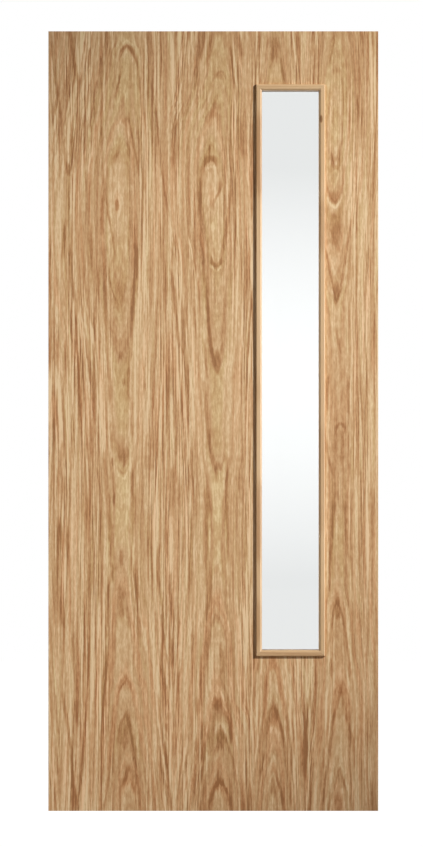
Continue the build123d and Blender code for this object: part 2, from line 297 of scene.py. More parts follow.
# Grain lines: half thickness, strength, then height and place of each point down the line.
LINES = [
    (1.9, 0.34, 31, 71, 45, 72, 60, 74, 75, 77, 88, 79.3), (1.2, 0.30, 31, 86.5, 45, 85, 60, 83, 75, 81.3, 87, 79.8),
    (1.3, -0.22, 44, 77.4, 55, 78.4, 70, 79.5, 80, 79.7), (1.6, 0.32, 60, 67, 75, 67.5, 88, 68.3, 98, 68.8),
    (1.7, 0.38, 40, 52, 63, 54, 85, 56.5, 100, 58.6, 116, 61, 130, 62.7, 145, 63.6, 158, 64.8, 169, 67),
    (1.2, 0.36, 86, 77.6, 107, 76.8, 127, 75.6, 146, 73.9, 160, 72.6, 172, 70.2), (1.1, 0.32, 84, 102.5, 105, 102, 127, 101.2, 150, 100.4),
 (1.2, 0.34, 53, 134.4, 64, 137.4, 77, 138.8, 90, 140.4, 105, 141),
    (1.2, 0.50, 68, 121.5, 76, 119.9, 86, 117.8, 97, 115.6), (1.8, 0.24, 31, 110, 50, 109, 65, 107.5, 85, 105),
 (2.1, 0.32, 141, 121.2, 147, 119.6, 154, 116.8, 161, 114),
    (1.1, 0.28, 118, 125.5, 130, 126.6, 142, 128, 158, 129.5), (1.2, 0.30, 112, 128.5, 126, 130.6, 140, 133.2, 155, 136, 170, 138.4),
    (1.6, 0.34, 178, 105, 192, 104.8, 206, 103, 222, 102, 236, 103), (1.2, 0.34, 196, 106.8, 212, 108, 226, 110.8, 243, 114, 258, 114.8),
    (1.4, 0.24, 88, 93, 110, 94, 130, 95), (1.3, 0.34, 85, 152, 100, 154, 115, 156, 130, 158.2, 150, 160, 170, 162, 190, 164.6, 212, 167.5),
    (1.6, 0.34, 118, 174, 130, 173.4, 145, 172.8, 165, 172), (1.2, 0.34, 64, 199, 75, 198.4, 88, 198, 105, 197.4),
    (1.3, 0.28, 31, 204, 45, 203, 56, 201), (1.8, 0.36, 31, 211.5, 40, 210.5, 50, 209, 62, 207), (2.2, 0.44, 31, 240, 45, 240.4, 60, 241.5),
    (1.2, 0.42, 45, 230, 60, 232, 75, 233.4, 88, 234.4), (2.4, 0.28, 118, 241, 138, 241.4, 157, 242),
    (2.2, 0.24, 92, 217.4, 101, 215.4, 110, 213, 118, 210.6, 127, 208.2),
    (1.9, 0.38, 160, 204.5, 168, 203, 178, 201.8, 190, 200.8, 206, 200.4, 224, 201.2, 240, 202.2, 256, 203, 270, 203.8, 285, 205.2, 300, 206.6, 316, 208.2, 330, 209.6, 345, 210.6, 356, 212.8, 368, 215.7),
    (1.6, 0.36, 180, 221, 188, 220.6, 194, 218.6, 199, 215, 206, 212.8), (2.0, 0.32, 180, 231, 196, 230, 208, 229.2, 220, 227.6, 234, 225.6, 246, 223.6, 257, 221.6),
    (1.7, 0.54, 222, 64.5, 240, 64, 258, 62.8), (2.0, 0.42, 247, 70.2, 258, 70.6, 270, 71.4, 282, 72.2, 291, 73.2, 303, 75.4),
    (1.2, 0.30, 312, 75.5, 330, 76.6, 350, 77.6, 372, 78.8, 395, 79.6, 420, 80), (1.4, 0.28, 228, 91, 250, 91.4, 270, 91.2),
    (1.2, 0.34, 298, 95.6, 315, 94.8, 335, 94), (1.9, 0.36, 245, 103.4, 262, 104.6, 280, 105.2, 300, 105.2, 318, 106.2, 335, 107, 350, 108, 365, 109, 380, 109.8, 402, 110.2),
    (1.0, 0.26, 270, 108.8, 282, 110.2, 290, 112, 297, 114.6, 303, 117.6),
    (2.0, 0.34, 240, 135.4, 256, 136.8, 270, 136.4, 284, 134.4, 300, 132.8, 320, 132.2, 345, 131.4, 362, 129.6, 380, 128.8, 402, 128.6),
    (1.8, 0.32, 345, 65, 370, 64.6, 395, 64, 425, 63.8, 450, 64.4, 470, 65), (1.4, 0.30, 385, 57.6, 410, 57, 440, 57.6, 470, 58.4, 490, 58.8),
    (1.1, 0.30, 270, 97.6, 285, 97.8, 300, 99.4), (1.1, 0.28, 330, 100.2, 350, 100, 372, 101.6, 395, 102.6, 420, 103.2), (1.3, 0.50, 355, 145, 375, 144.8, 395, 144),
    (1.3, 0.28, 236, 172, 250, 173, 262, 174), (1.5, 0.32, 270, 171, 286, 173.4, 300, 175, 318, 176.8, 335, 178.4, 350, 179.6), (1.3, 0.26, 300, 161, 320, 162.4, 345, 163.6, 365, 164),
    (1.2, 0.32, 308, 194, 322, 195, 336, 196), (1.1, 0.26, 280, 198, 300, 199.4, 318, 200.6), (1.3, 0.36, 342, 181.6, 354, 182.8, 364, 183.4),
    (1.3, 0.26, 300, 224.6, 318, 224, 332, 222.6, 344, 222, 354, 221.4), (1.3, 0.42, 345, 205, 360, 206, 375, 207),
    (1.9, 0.36, 384, 204, 395, 205.4, 410, 206.4, 425, 207.4, 438, 209, 448, 210.6, 456, 212.6, 464, 215, 472, 217, 481, 217.4), (1.2, 0.26, 268, 249.6, 290, 250.6, 310, 251),
    (1.2, 0.36, 424, 110.2, 436, 111, 450, 111.8), (2.6, 0.30, 455, 105, 470, 105.8, 488, 107.2, 505, 108.8, 522, 109.6, 538, 111.2, 555, 113, 570, 114.4, 582, 113.6),
    (2.0, 0.26, 470, 131.4, 485, 132.4, 500, 133.4, 520, 133, 540, 132), (1.0, 0.28, 478, 70, 495, 70.4, 512, 70), (2.6, 0.30, 520, 60, 545, 60, 570, 59.4, 600, 59.6, 625, 61),
    (1.8, 0.18, 530, 66, 548, 67.8, 565, 69, 585, 70.2, 605, 70.6, 625, 69.6), (1.7, 0.26, 500, 89, 525, 88, 550, 87.4, 575, 88.4, 600, 88),
    (1.0, 0.26, 468, 97, 482, 99, 494, 100.6), (1.2, 0.28, 535, 149.6, 548, 147.6, 558, 146.4), (1.5, 0.34, 582, 108.6, 595, 107.8, 612, 107, 630, 106.4, 640, 106.4),
    (1.6, 0.30, 565, 133.6, 582, 135.6, 600, 137.4, 618, 138.8, 636, 139.4), (1.5, 0.54, 545, 158.6, 562, 158, 578, 158.2, 594, 159.4), (2.8, 0.28, 465, 173, 480, 172.6, 495, 172.4, 512, 171),
    (2.2, 0.28, 530, 168, 545, 168, 562, 168), (1.6, 0.32, 572, 171, 590, 170, 605, 171.6, 620, 173.4), (1.3, 0.32, 530, 183, 548, 182.8, 562, 182), (1.2, 0.45, 462, 188.4, 480, 189.2, 492, 189.4),
    (3.0, 0.30, 490, 206.4, 505, 207.6, 520, 206.6, 538, 206, 555, 206.4, 570, 208, 590, 209, 605, 209.4, 622, 208.6), (1.6, 0.38, 455, 226.6, 475, 227, 500, 226.6, 530, 227.4, 560, 228),
    (1.2, 0.30, 470, 239, 484, 239.4, 498, 240), (1.3, 0.28, 505, 248, 520, 248.8, 532, 249),
    (1.8, 0.30, 634, 72.6, 648, 73.4, 665, 74.6, 680, 76, 692, 77), (1.7, 0.38, 702, 75.6, 712, 76.4, 726, 76.8),
    (1.7, 0.38, 690, 62.6, 705, 64.4, 720, 67, 735, 69.4, 750, 71.2, 768, 72.2, 785, 73.6, 798, 76, 811, 77.6),
    (1.3, 0.36, 640, 89, 665, 88.6, 690, 87.6, 711, 86.6, 730, 85, 750, 83.6, 770, 82.6, 785, 80.8, 798, 77.8),
    (1.5, 0.36, 650, 107.4, 662, 107.2, 674, 106, 690, 104.6, 708, 103.2, 725, 102.8, 745, 103.2, 765, 102.6, 785, 101.6), (1.4, 0.36, 706, 112.4, 724, 111.6, 744, 111, 762, 110.2, 778, 108.6, 795, 106.4, 811, 104),
    (1.5, 0.28, 713, 125.6, 719, 122.6, 727, 120, 738, 118.2, 752, 116.6), (1.5, 0.34, 714, 126.6, 722, 128.4, 732, 130.6, 745, 132.6, 760, 134.6, 775, 136.6, 790, 138.4, 808, 140),
    (2.0, 0.38, 767, 128.4, 774, 126.8, 781, 124.6, 789, 121.8), (1.2, 0.36, 681, 125.6, 684, 123.6, 687, 121.4, 693, 119.2),
    (1.3, 0.32, 640, 172.6, 652, 173, 666, 173), (1.2, 0.32, 640, 162, 660, 161.4, 680, 160), (1.5, 0.38, 692, 158, 710, 159.8, 725, 161.4, 740, 163.6, 756, 165.6, 775, 167.6, 795, 169.6, 811, 171),
    (1.4, 0.34, 735, 183.6, 755, 182, 775, 180.4, 800, 179.4), (1.6, 0.34, 735, 197, 755, 195.6, 775, 195, 800, 194.8), (2.2, 0.28, 720, 204, 740, 203, 758, 201.6),
    (3.2, 0.28, 632, 209.6, 645, 207.4, 660, 205.2, 675, 203.4, 690, 201.6, 712, 200), (2.4, 0.44, 646, 221, 656, 222.2, 668, 222.6, 680, 222.4, 690, 224.4, 702, 227.4, 714, 229.6, 728, 230.8, 742, 231.4),
    (2.0, 0.30, 700, 217, 712, 215.6, 724, 213.6, 738, 211.4, 752, 209.4), (1.2, -0.20, 688, 219, 695, 222, 703, 225), (1.4, 0.30, 736, 225, 745, 228, 756, 231.4, 770, 234.4, 785, 236.4, 800, 237.2),
    (2.6, 0.48, 781, 218.4, 786, 215.4, 793, 212.6, 802, 210.8, 811, 210), (2.0, 0.42, 781, 220, 786, 223.4, 791, 226.6, 798, 229.2, 811, 231),
    (1.4, 0.50, 34, 334, 44, 333.2, 52, 332, 62, 329.6), (1.1, 0.26, 31, 368, 60, 368.6, 85, 368.4), (1.3, 0.45, 97, 357.4, 108, 358, 119, 358),
    (1.3, 0.34, 226, 350, 238, 348, 252, 346, 266, 344, 280, 342.2, 290, 340, 301, 337), (1.2, 0.32, 250, 326, 262, 328, 274, 330.2, 286, 332.6, 296, 334.8, 303, 336), (1.6, 0.36, 328, 336, 338, 337.6, 348, 339.4, 359, 338.6),
    (1.4, 0.36, 372, 328.4, 388, 327.4, 404, 326.8, 412, 326.8), (1.4, 0.34, 378, 348, 394, 347.6, 408, 348.2, 420, 349.4), (1.3, 0.28, 436, 348.6, 455, 350, 480, 349.6), (1.3, 0.34, 440, 326.4, 452, 327.2, 462, 329.2, 472, 331.4),
    (2.6, 0.26, 464, 335, 478, 336, 492, 336.4, 510, 336), (1.7, 0.20, 500, 333.4, 520, 333, 538, 331.8, 556, 329.8, 576, 328.4), (1.4, 0.30, 496, 346.4, 512, 345.4, 530, 345.8, 546, 347.4, 559, 349),
    (1.4, 0.34, 602, 335.6, 610, 334, 622, 332, 640, 329.6, 652, 328.4), (1.3, 0.32, 604, 339, 616, 342, 630, 345, 645, 347, 660, 348.6, 680, 349.6), (1.6, 0.30, 490, 373.6, 520, 373, 550, 373.4, 590, 372.6, 620, 372),
    (1.8, 0.36, 706, 271, 714, 268.4, 724, 266.2, 736, 264.8, 750, 263.2, 764, 261.4, 780, 260), (1.8, 0.38, 704, 274, 712, 276.6, 722, 279.6, 735, 283, 750, 285.6, 764, 286.6, 778, 288.2, 792, 290, 811, 291.6),
    (1.6, 0.38, 772, 275.4, 780, 277.6, 790, 280.4, 800, 282.4, 811, 283.6), (1.2, 0.30, 662, 298.6, 680, 300.2, 700, 301.4, 726, 302.8), (1.4, 0.34, 690, 309.6, 704, 308.8, 718, 307.4, 732, 306),
    (1.7, 0.34, 686, 341, 696, 339.4, 706, 336.8, 716, 333.8, 726, 331.4, 742, 330.2, 758, 330), (1.6, 0.30, 690, 342, 704, 343.6, 716, 345.6, 727, 349, 738, 352.4, 752, 354.4, 770, 355.4),
    (1.2, 0.30, 772, 338.4, 780, 336.4, 790, 333.6, 800, 331.4), (1.2, 0.30, 772, 340.4, 780, 343, 790, 346, 802, 348.6), (1.3, 0.32, 770, 325.6, 788, 324.6, 805, 323.4), (1.5, 0.18, 715, 367.6, 730, 368, 748, 368.4),
    (1.2, 0.28, 60, 280.6, 70, 282.6, 84, 285), (1.6, 0.48, 31, 297, 50, 298), (1.1, 0.26, 36, 268, 48, 267.4, 60, 266.4),
]


def tracks():
    """The lines sorted into as few sets as hold no two at one height: curve points of each set."""
    sets = []
    for line in sorted(LINES, key=lambda r: r[2]):
        rows = list(zip(line[2::2], line[3::2]))
        for held in sets:
            if held[-1][2][-1][0] + 18 <= rows[0][0]:
                held.append((line[0], line[1], rows))
                break
        else:
            sets.append([(line[0], line[1], rows)])
    made = []
    for held in sets:
        place, much, half = [], [], []
        for thick, strength, rows in held:
            (y0, x0), (y1, x1) = rows[0], rows[-1]
            (ya, xa), (yb, xb) = rows[1], rows[-2]
            end = min(7.0, 0.3 * (y1 - y0))
            place += [(y0 - 6, x0 - 6 * (xa - x0) / (ya - y0))] + rows + [(y1 + 6, x1 + 6 * (x1 - xb) / (y1 - yb))]
            much += [(y0 - 5, 0.0), (y0 + end, strength), (y1 - end, strength), (y1 + 5, 0.0)]
            half += [(y0 - 6, thick), (y1 + 6, thick)]
        made.append([held_to_leaf(rows) for rows in (place, much, half)])
    return made


def held_to_leaf(rows):
    """The rows cut off at the head and the foot, and drawn out to both."""

    def at(y):
        for (ya, va), (yb, vb) in zip(rows, rows[1:]):
            if ya <= y <= yb:
                return va + (vb - va) * (y - ya) / (yb - ya)
        return rows[0][1] if y < rows[0][0] else rows[-1][1]

    return [(31.2, at(31.2))] + [r for r in rows if 31.7 < r[0] < 810.7] + [(811.2, at(811.2))]


def slow(rows):
    """The same rows, evened out up and down the leaf, for the flanks of a crown."""

    def at(y):
        if y <= rows[0][0]:
            return rows[0][1]
        for (y0, v0), (y1, v1) in zip(rows, rows[1:]):
            if y <= y1:
                return v0 + (v1 - v0) * (y - y0) / (y1 - y0)
        return rows[-1][1]

    made = []
    for i in range(14):
        y = 31 + 780 * i / 13
        near = [(math.exp(-((j / 10) ** 2) * 2), at(y + 8 * j)) for j in range(-14, 15)]
        made.append((y, sum(w * v for w, v in near) / sum(w for w, _ in near)))
    mean = sum(v for _, v in made) / len(made)
    return [(y, mean + 0.85 * (v - mean)) for y, v in made]


def oak_face(net, x, z, seed, marked):
    """Crown-cut oak over x across and z up the leaf: colour, bump height, roughness."""
    # Fibres: the figure is feathered up and down along them, and wanders a little.
    fibre = net.noise2(x, z, 330.0, 3.2, seed + 1, 2.0, 0.6)
    coarse = net.noise2(x, z, 110.0, 2.2, seed + 2, 2.0, 0.55)
    sway = net.noise2(x, z, 7.0, 0.9, seed + 3, 2.0, 0.5)
    xj = net.add(x, net.mul(sway, 0.005))
    u0 = net.mul(z, 1.0 / LEAF_H)

    # How far each point is from each crest, and how near it is to any of them.
    core, squares = None, []
    for crown in CROWNS:
        at = crest_points([(y, (v - 48.6) * PX / 1000.0) for y, v in crown["at"]])
        lo, hi = min(v for _, v in at) - 0.01, max(v for _, v in at) + 0.01
        d = net.sub(xj, net.curve(u0, at, lo, hi))
        squares.append(net.mul(d, d))
        mid = net.m("EXPONENT", net.mul(squares[-1], -1.0 / 0.042**2))
        core = mid if core is None else net.m("MAXIMUM", core, mid)

    # The crests are feathered less.
    calm = net.mul(net.step(z, 1.80, 1.90, 1.0, 0.3), net.mad(core, -0.45, 1.0))
    zj = net.add(z, net.mul(calm, net.add(net.mul(fibre, 0.026), net.mul(coarse, 0.020))))
    u = net.mul(zj, 1.0 / LEAF_H)
    height = None
    for crown, d2 in zip(CROWNS, squares):
        r = crown["round"]
        fall = net.mul(net.sub(net.m("SQRT", net.add(d2, r * r)), r), 1.0 / crown["gap"])
        rings = crest_points(crown["ring"])
        flank = crest_points(slow(crown["ring"]))
        values = [v for _, v in rings + flank]
        lo, hi = min(values) - 0.3, max(values) + 0.3
        crest = net.curve(u, rings, lo, hi)
        side = net.curve(u, flank, lo, hi)
        near = net.m("EXPONENT", net.mul(d2, -1.0 / 0.050**2))
        ridge = net.sub(net.add(side, net.mul(net.sub(crest, side), near)), fall)
        height = ridge if height is None else net.m("SMOOTH_MAX", height, ridge, 0.35)

    # Off the crests the rings pinch and spread.
    drift = net.noise2(x, z, 26.0, 1.0, seed + 5, 2.0, 0.5)
    small = net.noise2(x, z, 85.0, 1.6, seed + 6, 2.0, 0.5)
    off = net.sub(1.0, net.mul(core, 0.75))
    height = net.add(height, net.mul(off, net.add(net.mul(drift, 0.8), net.mul(small, 0.35))))

    # Rings on the crests, drawn whole, with feathered edges.
    ring = net.m("FLOOR", height)
    t = net.m("FRACT", height)
    wide = net.remap(net.dice(net.add(ring, 5.7 + seed)), 0.0, 1.0, -0.08, 0.08)
    amount = net.remap(net.dice(net.add(ring, 11.3 + seed)), 0.0, 1.0, 0.7, 1.0)
    away = net.add(net.m("ABSOLUTE", net.sub(t, 0.5)), wide)
    band = net.mul(net.step(away, 0.14, 0.25, 1.0, 0.0), amount)

    # On the flanks each ring starts with a crisp dark edge and pales across itself.
    # Rings differ, and each comes and goes up the leaf.
    def edges(scale, shift, length):
        h = net.mad(height, scale, shift)
        n = net.m("FLOOR", h)
        pale = net.sub(1.0, net.m("FRACT", h))
        mine = net.noise2(net.mul(n, 7.77), z, 1.0, length, seed + shift, 1.0, 0.5)
        return net.mul(net.mul(pale, pale), net.step(mine, -0.30, 0.40))

    edge1 = edges(1.0, 0.0, 1.1)
    edge2 = edges(2.1, 40.3, 1.9)

    # Bands of even tone that follow the figure: broad and fine.
    f1 = net.step(net.noise2(height, z, 0.42, 1.1, seed + 14, 1.0, 0.5), -0.22, 0.22, -0.5, 0.5)
    f3 = net.step(net.noise2(height, z, 2.4, 2.6, seed + 16, 1.0, 0.5), -0.3, 0.3, -0.5, 0.5)
    lines = net.add(net.mul(f1, 0.8), net.add(net.mul(edge1, 0.8), net.mul(f3, 0.6)))

    # Straight streaks along the fibres.
    broad = net.noise2(x, z, 16.0, 1.0, seed + 7, 2.0, 0.5)
    streak = net.step(net.noise2(x, z, 165.0, 3.2, seed + 8, 1.0, 0.5), -0.20, 0.20, -0.5, 0.5)
    hair = net.step(net.noise2(x, z, 400.0, 9.0, seed + 9, 1.0, 0.6), -0.45, 0.45, -0.5, 0.5)
    # Broad bands of even tone with crisp edges, and lengths where the fine streaks fade.
    band2 = net.step(net.noise2(x, z, 50.0, 1.3, seed + 17, 1.0, 0.5), -0.12, 0.12, -0.5, 0.5)
    patchy = net.step(net.noise2(x, z, 34.0, 1.6, seed + 18, 1.0, 0.5), -0.28, 0.28, 0.45, 1.35)
    # Pores: short dark dashes, thickest in the dark part of each ring.
    pore = net.noise2(x, z, 1500.0, 40.0, seed + 10, 1.0, 0.5, centred=False)
    pore = net.mul(net.step(pore, 0.60, 0.74), net.mad(lines, 0.4, 0.6))
    vessel = net.noise2(x, z, 2700.0, 95.0, seed + 24, 1.0, 0.5, centred=False)
    vessel = net.mul(net.step(vessel, 0.58, 0.68), net.mad(lines, 0.5, 0.5))

    # Mottled patches, most of them on the crests, and short flecks everywhere.
    mottle = net.step(net.noise2(x, z, 110.0, 38.0, seed + 20, 2.0, 0.6), -0.30, 0.30, -0.5, 0.5)
    fleck = net.noise2(x, z, 320.0, 58.0, seed + 22, 1.0, 0.5)

    # The crests are calmer than the flanks.
    calm = net.sub(1.0, net.mul(core, 0.68 if marked else 0.5))
    less = 0.62 if marked else 1.0
    dark = net.mad(net.mul(band, core), 0.24 if marked else 0.52, 0.24)
    dark = net.mad(mottle, net.mad(core, 0.16, 0.04), dark)
    dark = net.mad(fleck, net.mad(core, -0.09, 0.25), dark)
    dark = net.mad(f1, net.mad(core, -0.10 * less, 0.20 * less), dark)
    dark = net.mad(edge1, net.mad(core, -0.26 * less, 0.38 * less), dark)
    dark = net.mad(edge2, net.mad(core, -0.18 * less, 0.38 * less), dark)
    fine = net.mul(net.mad(f3, 0.34, net.mad(streak, 0.40, net.mul(hair, 0.38))), patchy)
    dark = net.mad(net.mad(band2, 0.17, fine), calm, dark)
    dark = net.mad(broad, 0.08, dark)
    dark = net.mad(pore, 0.16, dark)
    dark = net.mad(vessel, 0.22, dark)
    if marked:
        # Painted shade: the front face is darkened towards the foot, standing in for less light falling there.
        dark = net.add(dark, net.step(z, 0.05, 0.48, 0.05, 0.0))
        wobble = net.noise2(x, z, 70.0, 60.0, seed + 26, 2.0, 0.5)
        xm = net.mad(wobble, 0.0016, x)
        zm = net.add(z, net.mad(fibre, 0.006, net.mul(coarse, 0.004)))
        um = net.mul(zm, 1.0 / LEAF_H)
        for place, much, half in tracks():
            line = net.curve(um, crest_points([(y, (v - 48.6) * PX / 1000) for y, v in place]), -0.02, 0.88, "VECTOR")
            thick = net.curve(um, crest_points([(y, v * PX / 1000) for y, v in half]), 0.0, 0.01, "VECTOR")
            hit = net.step(net.m("DIVIDE", net.m("ABSOLUTE", net.sub(xm, line)), thick), 0.45, 1.35, 1.0, 0.0)
            dark = net.mad(hit, net.curve(um, crest_points(much), -0.5, 0.6, "VECTOR"), dark)
        for px, py, wide, drop, half, much in ARCHES:
            hit = net.arch(
                xm, zm, (px - 48.6) * PX / 1000, (811.2 - py) * PZ / 1000,
                wide * PX / 1000, drop * PZ / 1000, half * PX / 1000,
            )
            dark = net.mad(hit, much, dark)
        for px, y0, y1, half, much in PATCHES:
            hit = net.dash(
                xm, zm, (px - 48.6) * PX / 1000, (811.2 - (y0 + y1) / 2) * PZ / 1000,
                half * PX / 1000, (y1 - y0) / 2 * PZ / 1000,
            )
            dark = net.mad(hit, much, dark)

    wood = net.ramp(
        net.sat(dark),
        [
            (0.0, lin(239, 209, 166)),
            (0.25, lin(219, 182, 136)),
            (0.5, lin(204, 159, 112)),
            (0.75, lin(185, 135, 89)),
            (1.0, lin(160, 111, 68)),
        ],
    )
    # Some streaks lean pink and some straw-yellow.
    hue = net.noise2(height, z, 1.3, 2.4, seed + 12, 3.0, 0.6, centred=False)
    hue = net.add(hue, net.step(z, 0.15, 0.75, 0.10, 0.02))
    hue = net.add(hue, net.mul(net.mul(core, -0.09), net.step(z, 0.55, 1.0)))
    wood = net.mix(net.step(hue, 0.52, 0.72, 0.0, 0.7), wood, net.mix(1.0, wood, (1.06, 0.955, 0.93, 1), "MULTIPLY"))
    wood = net.mix(net.step(hue, 0.48, 0.28, 0.0, 0.7), wood, net.mix(1.0, wood, (0.975, 1.03, 0.93, 1), "MULTIPLY"))

    bump = net.sub(net.mul(hair, 0.25), net.add(net.mul(net.add(pore, vessel), 0.8), net.mul(lines, 0.15)))
    rough = net.mad(lines, 0.05, net.mad(hair, 0.03, 0.46))
    return wood, bump, rough


def veneer(name, seed, turned):
    net = Net(name)
    x, y, z = net.place()
    if turned:  # the other face's sheet is hung the other way up
        x = net.sub(LEAF_W + 0.035, x)
        z = net.sub(LEAF_H, z)
    wood, bump, rough = oak_face(net, x, z, seed, not turned)
    return net.surface(wood, rough, bump, 0.0002, 0.6, Specular_IOR_Level=0.35)


def straight_oak(name, seed, along, across, depth, stretches=(), knots=(), tone=0.0):
    """Straight-grained oak: along is the axis that the grain follows.

    stretches are darker lengths (from, to, strength) and knots small dark eyes (place
    across, place along, half width, half length), all in metres.
    """
    net = Net(name)
    p = dict(zip("xyz", net.place()))
    a, c, d = p[along], p[across], p[depth]
    sway = net.noise3(a, c, d, 1.7, 9.0, 9.0, seed + 9, 2.0, 0.5)
    cs = net.mad(sway, 0.004, c)
    broad = net.noise3(a, cs, d, 2.6, 70.0, 70.0, seed, 2.0, 0.5)
    streak = net.step(net.noise3(a, cs, d, 3.0, 330.0, 330.0, seed + 1, 1.0, 0.5), -0.3, 0.3, -0.5, 0.5)
    fine = net.step(net.noise3(a, cs, d, 7.0, 800.0, 800.0, seed + 4, 1.0, 0.5), -0.35, 0.35, -0.5, 0.5)
    hair = net.noise3(a, cs, d, 14.0, 1700.0, 1700.0, seed + 2, 2.0, 0.6)
    pore = net.step(net.noise3(a, cs, d, 70.0, 2600.0, 2600.0, seed + 3, 1.0, 0.5, False), 0.60, 0.72)
    ray = net.step(net.noise3(a, c, d, 75.0, 260.0, 260.0, seed + 5, 1.0, 0.5, False), 0.66, 0.74)
    dark = net.mad(broad, 0.26, net.mad(streak, 0.24, net.mad(fine, 0.16, net.mad(hair, 0.10, 0.32 + tone))))
    dark = net.mad(pore, 0.20, net.mad(ray, -0.10, dark))
    if stretches:
        feather = net.mad(net.noise3(a, c, d, 5.0, 420.0, 420.0, seed + 6, 2.0, 0.6), 0.035, a)
        for lo, hi, much in stretches:
            hit = net.mul(net.step(feather, lo - 0.02, lo + 0.02), net.step(feather, hi - 0.02, hi + 0.02, 1.0, 0.0))
            dark = net.mad(hit, much, dark)
    for c0, a0, half, long in knots:
        dark = net.mad(net.dash(c, a, c0, a0, half, long), 0.7, dark)
    # Cut ends: rings on the curve, with open vessels in the early part of each.
    bow = net.m("SQRT", net.mad(c, c, net.mul(net.sub(d, 0.09), net.sub(d, 0.09))))
    ring = net.m("FRACT", net.mad(net.noise3(a, c, d, 0.0, 60.0, 60.0, seed + 7, 2.0, 0.5), 0.5, net.mul(bow, 420.0)))
    early = net.step(ring, 0.05, 0.45, 1.0, 0.0)
    dots = net.step(net.noise3(a, c, d, 0.0, 1900.0, 1900.0, seed + 8, 1.0, 0.5, False), 0.52, 0.62)
    cut = net.mad(net.mul(early, net.mad(dots, 0.6, 0.4)), 0.42, 0.46)
    dark = net.lerp(net.facing(along), dark, cut)
    wood = net.ramp(
        net.sat(dark),
        [
            (0.0, lin(226, 192, 148)),
            (0.35, lin(211, 173, 128)),
            (0.7, lin(188, 144, 100)),
            (1.0, lin(146, 102, 65)),
        ],
    )
    bump = net.sub(net.mul(hair, 0.3), pore)
    return net, wood, bump, net.mad(hair, 0.04, net.mad(fine, 0.03, 0.38))


def bead(name, seed, along, **more):
    across = "x" if along == "z" else "z"
    net, wood, bump, rough = straight_oak(name, seed, along, across, "y", **more)
    return net.surface(wood, rough, bump, 0.0002, 0.5)


def give(node, material):
    o = nodes[node]
    o.data.materials.clear()
    o.data.materials.append(material)


give("front_veneer", veneer("oak_veneer_front", 0.0, False))
give("back_veneer", veneer("oak_veneer_back", 21.0, True))
# Darker lengths of the two long front beads, and one small knot.  The foot bead's darker tone is painted shade.
BEAD_DETAIL = {
    "front_bead_hinge_side": dict(tone=-0.13, stretches=[(1.562, 1.775, 0.36), (1.036, 1.090, 0.18), (0.636, 0.838, 0.36), (0.420, 0.530, 0.30)]),
    "front_bead_lock_side": dict(
        tone=-0.15, stretches=[(1.420, 1.550, 0.30), (0.708, 0.980, 0.26)], knots=[(0.6930, 1.758, 0.0040, 0.0105)]
    ),
    "front_bead_head": dict(tone=-0.13),
    # Painted shade: the foot bead's tone is darkened so that its upward-facing slope reads as dim as the other beads.
    "front_bead_foot": dict(tone=0.10),
    "back_bead_hinge_side": dict(stretches=[(0.70, 0.95, 0.30), (1.40, 1.52, 0.24)]),
    "back_bead_lock_side": dict(stretches=[(1.10, 1.34, 0.30)]),
}
for i, side in enumerate(("front", "back")):
    for j, (run, along) in enumerate((("hinge_side", "z"), ("lock_side", "z"), ("head", "x"), ("foot", "x"))):
        n = f"{side}_bead_{run}"
        give(n, bead(f"oak_{n}", 31.0 + 4 * i + j, along, **BEAD_DETAIL.get(n, {})))
for j, n in enumerate(("hinge_lipping", "lock_lipping")):
    net, wood, bump, rough = straight_oak(f"oak_{n}", 51.0 + j, "z", "y", "x", tone=0.06)
    give(n, net.surface(wood, rough, bump, 0.0002, 0.5))


def softwood(name, seed, along, across, depth):
    net = Net(name)
    p = dict(zip("xyz", net.place()))
    a, c, d = p[along], p[across], p[depth]
    wave = net.noise3(a, c, d, 1.5, 20.0, 20.0, seed, 2.0, 0.5)
    rings = net.m("FRACT", net.add(net.mul(c, 260.0), net.mul(wave, 1.6)))
    late = net.step(rings, 0.45, 0.95)
    hair = net.noise3(a, c, d, 14.0, 900.0, 900.0, seed + 1, 2.0, 0.6)
    saw = net.noise3(a, c, d, 420.0, 12.0, 12.0, seed + 2, 2.0, 0.6)
    tone = net.mad(late, 0.5, net.mad(hair, 0.2, 0.2))
    # Cut ends: rings about a heart that lies off to one side.
    bow = net.m("SQRT", net.mad(net.sub(c, 0.045), net.sub(c, 0.045), net.mul(net.sub(d, 0.03), net.sub(d, 0.03))))
    ring = net.m("FRACT", net.mad(wave, 0.5, net.mul(bow, 300.0)))
    end = net.mad(net.step(ring, 0.35, 0.92), 0.55, net.mad(net.noise3(a, c, d, 0.0, 1300.0, 1300.0, seed + 3, 2.0, 0.6), 0.2, 0.38))
    tone = net.sat(net.lerp(net.facing(along), tone, end))
    wood = net.ramp(tone, [(0.0, lin(214, 181, 134)), (0.5, lin(196, 156, 107)), (1.0, lin(160, 112, 68))])
    return net.surface(wood, net.mad(hair, 0.06, 0.72), net.add(net.mul(hair, 0.4), net.mul(saw, 0.3)), 0.0003, 0.6, Specular_IOR_Level=0.12)


give("hinge_stile", softwood("softwood_hinge_stile", 61.0, "z", "y", "x"))
give("lock_stile", softwood("softwood_lock_stile", 64.0, "z", "y", "x"))
give("bottom_rail", softwood("softwood_bottom_rail", 67.0, "x", "y", "z"))
give("top_rail", softwood("softwood_top_rail", 70.0, "x", "y", "z"))


def board(name, seed, stops, grain, rough):
    net = Net(name)
    x, y, z = net.place()
    chip = net.noise3(x, y, z, grain, grain * 2.2, grain, seed, 4.0, 0.7, False)
    fine = net.noise3(x, y, z, grain * 6, grain * 8, grain * 6, seed + 1, 2.0, 0.6)
    col = net.ramp(net.sat(net.mad(fine, 0.12, chip)), stops)
    return net.surface(col, rough, net.add(chip, net.mul(fine, 0.4)), 0.0006, 0.6, Specular_IOR_Level=0.12)


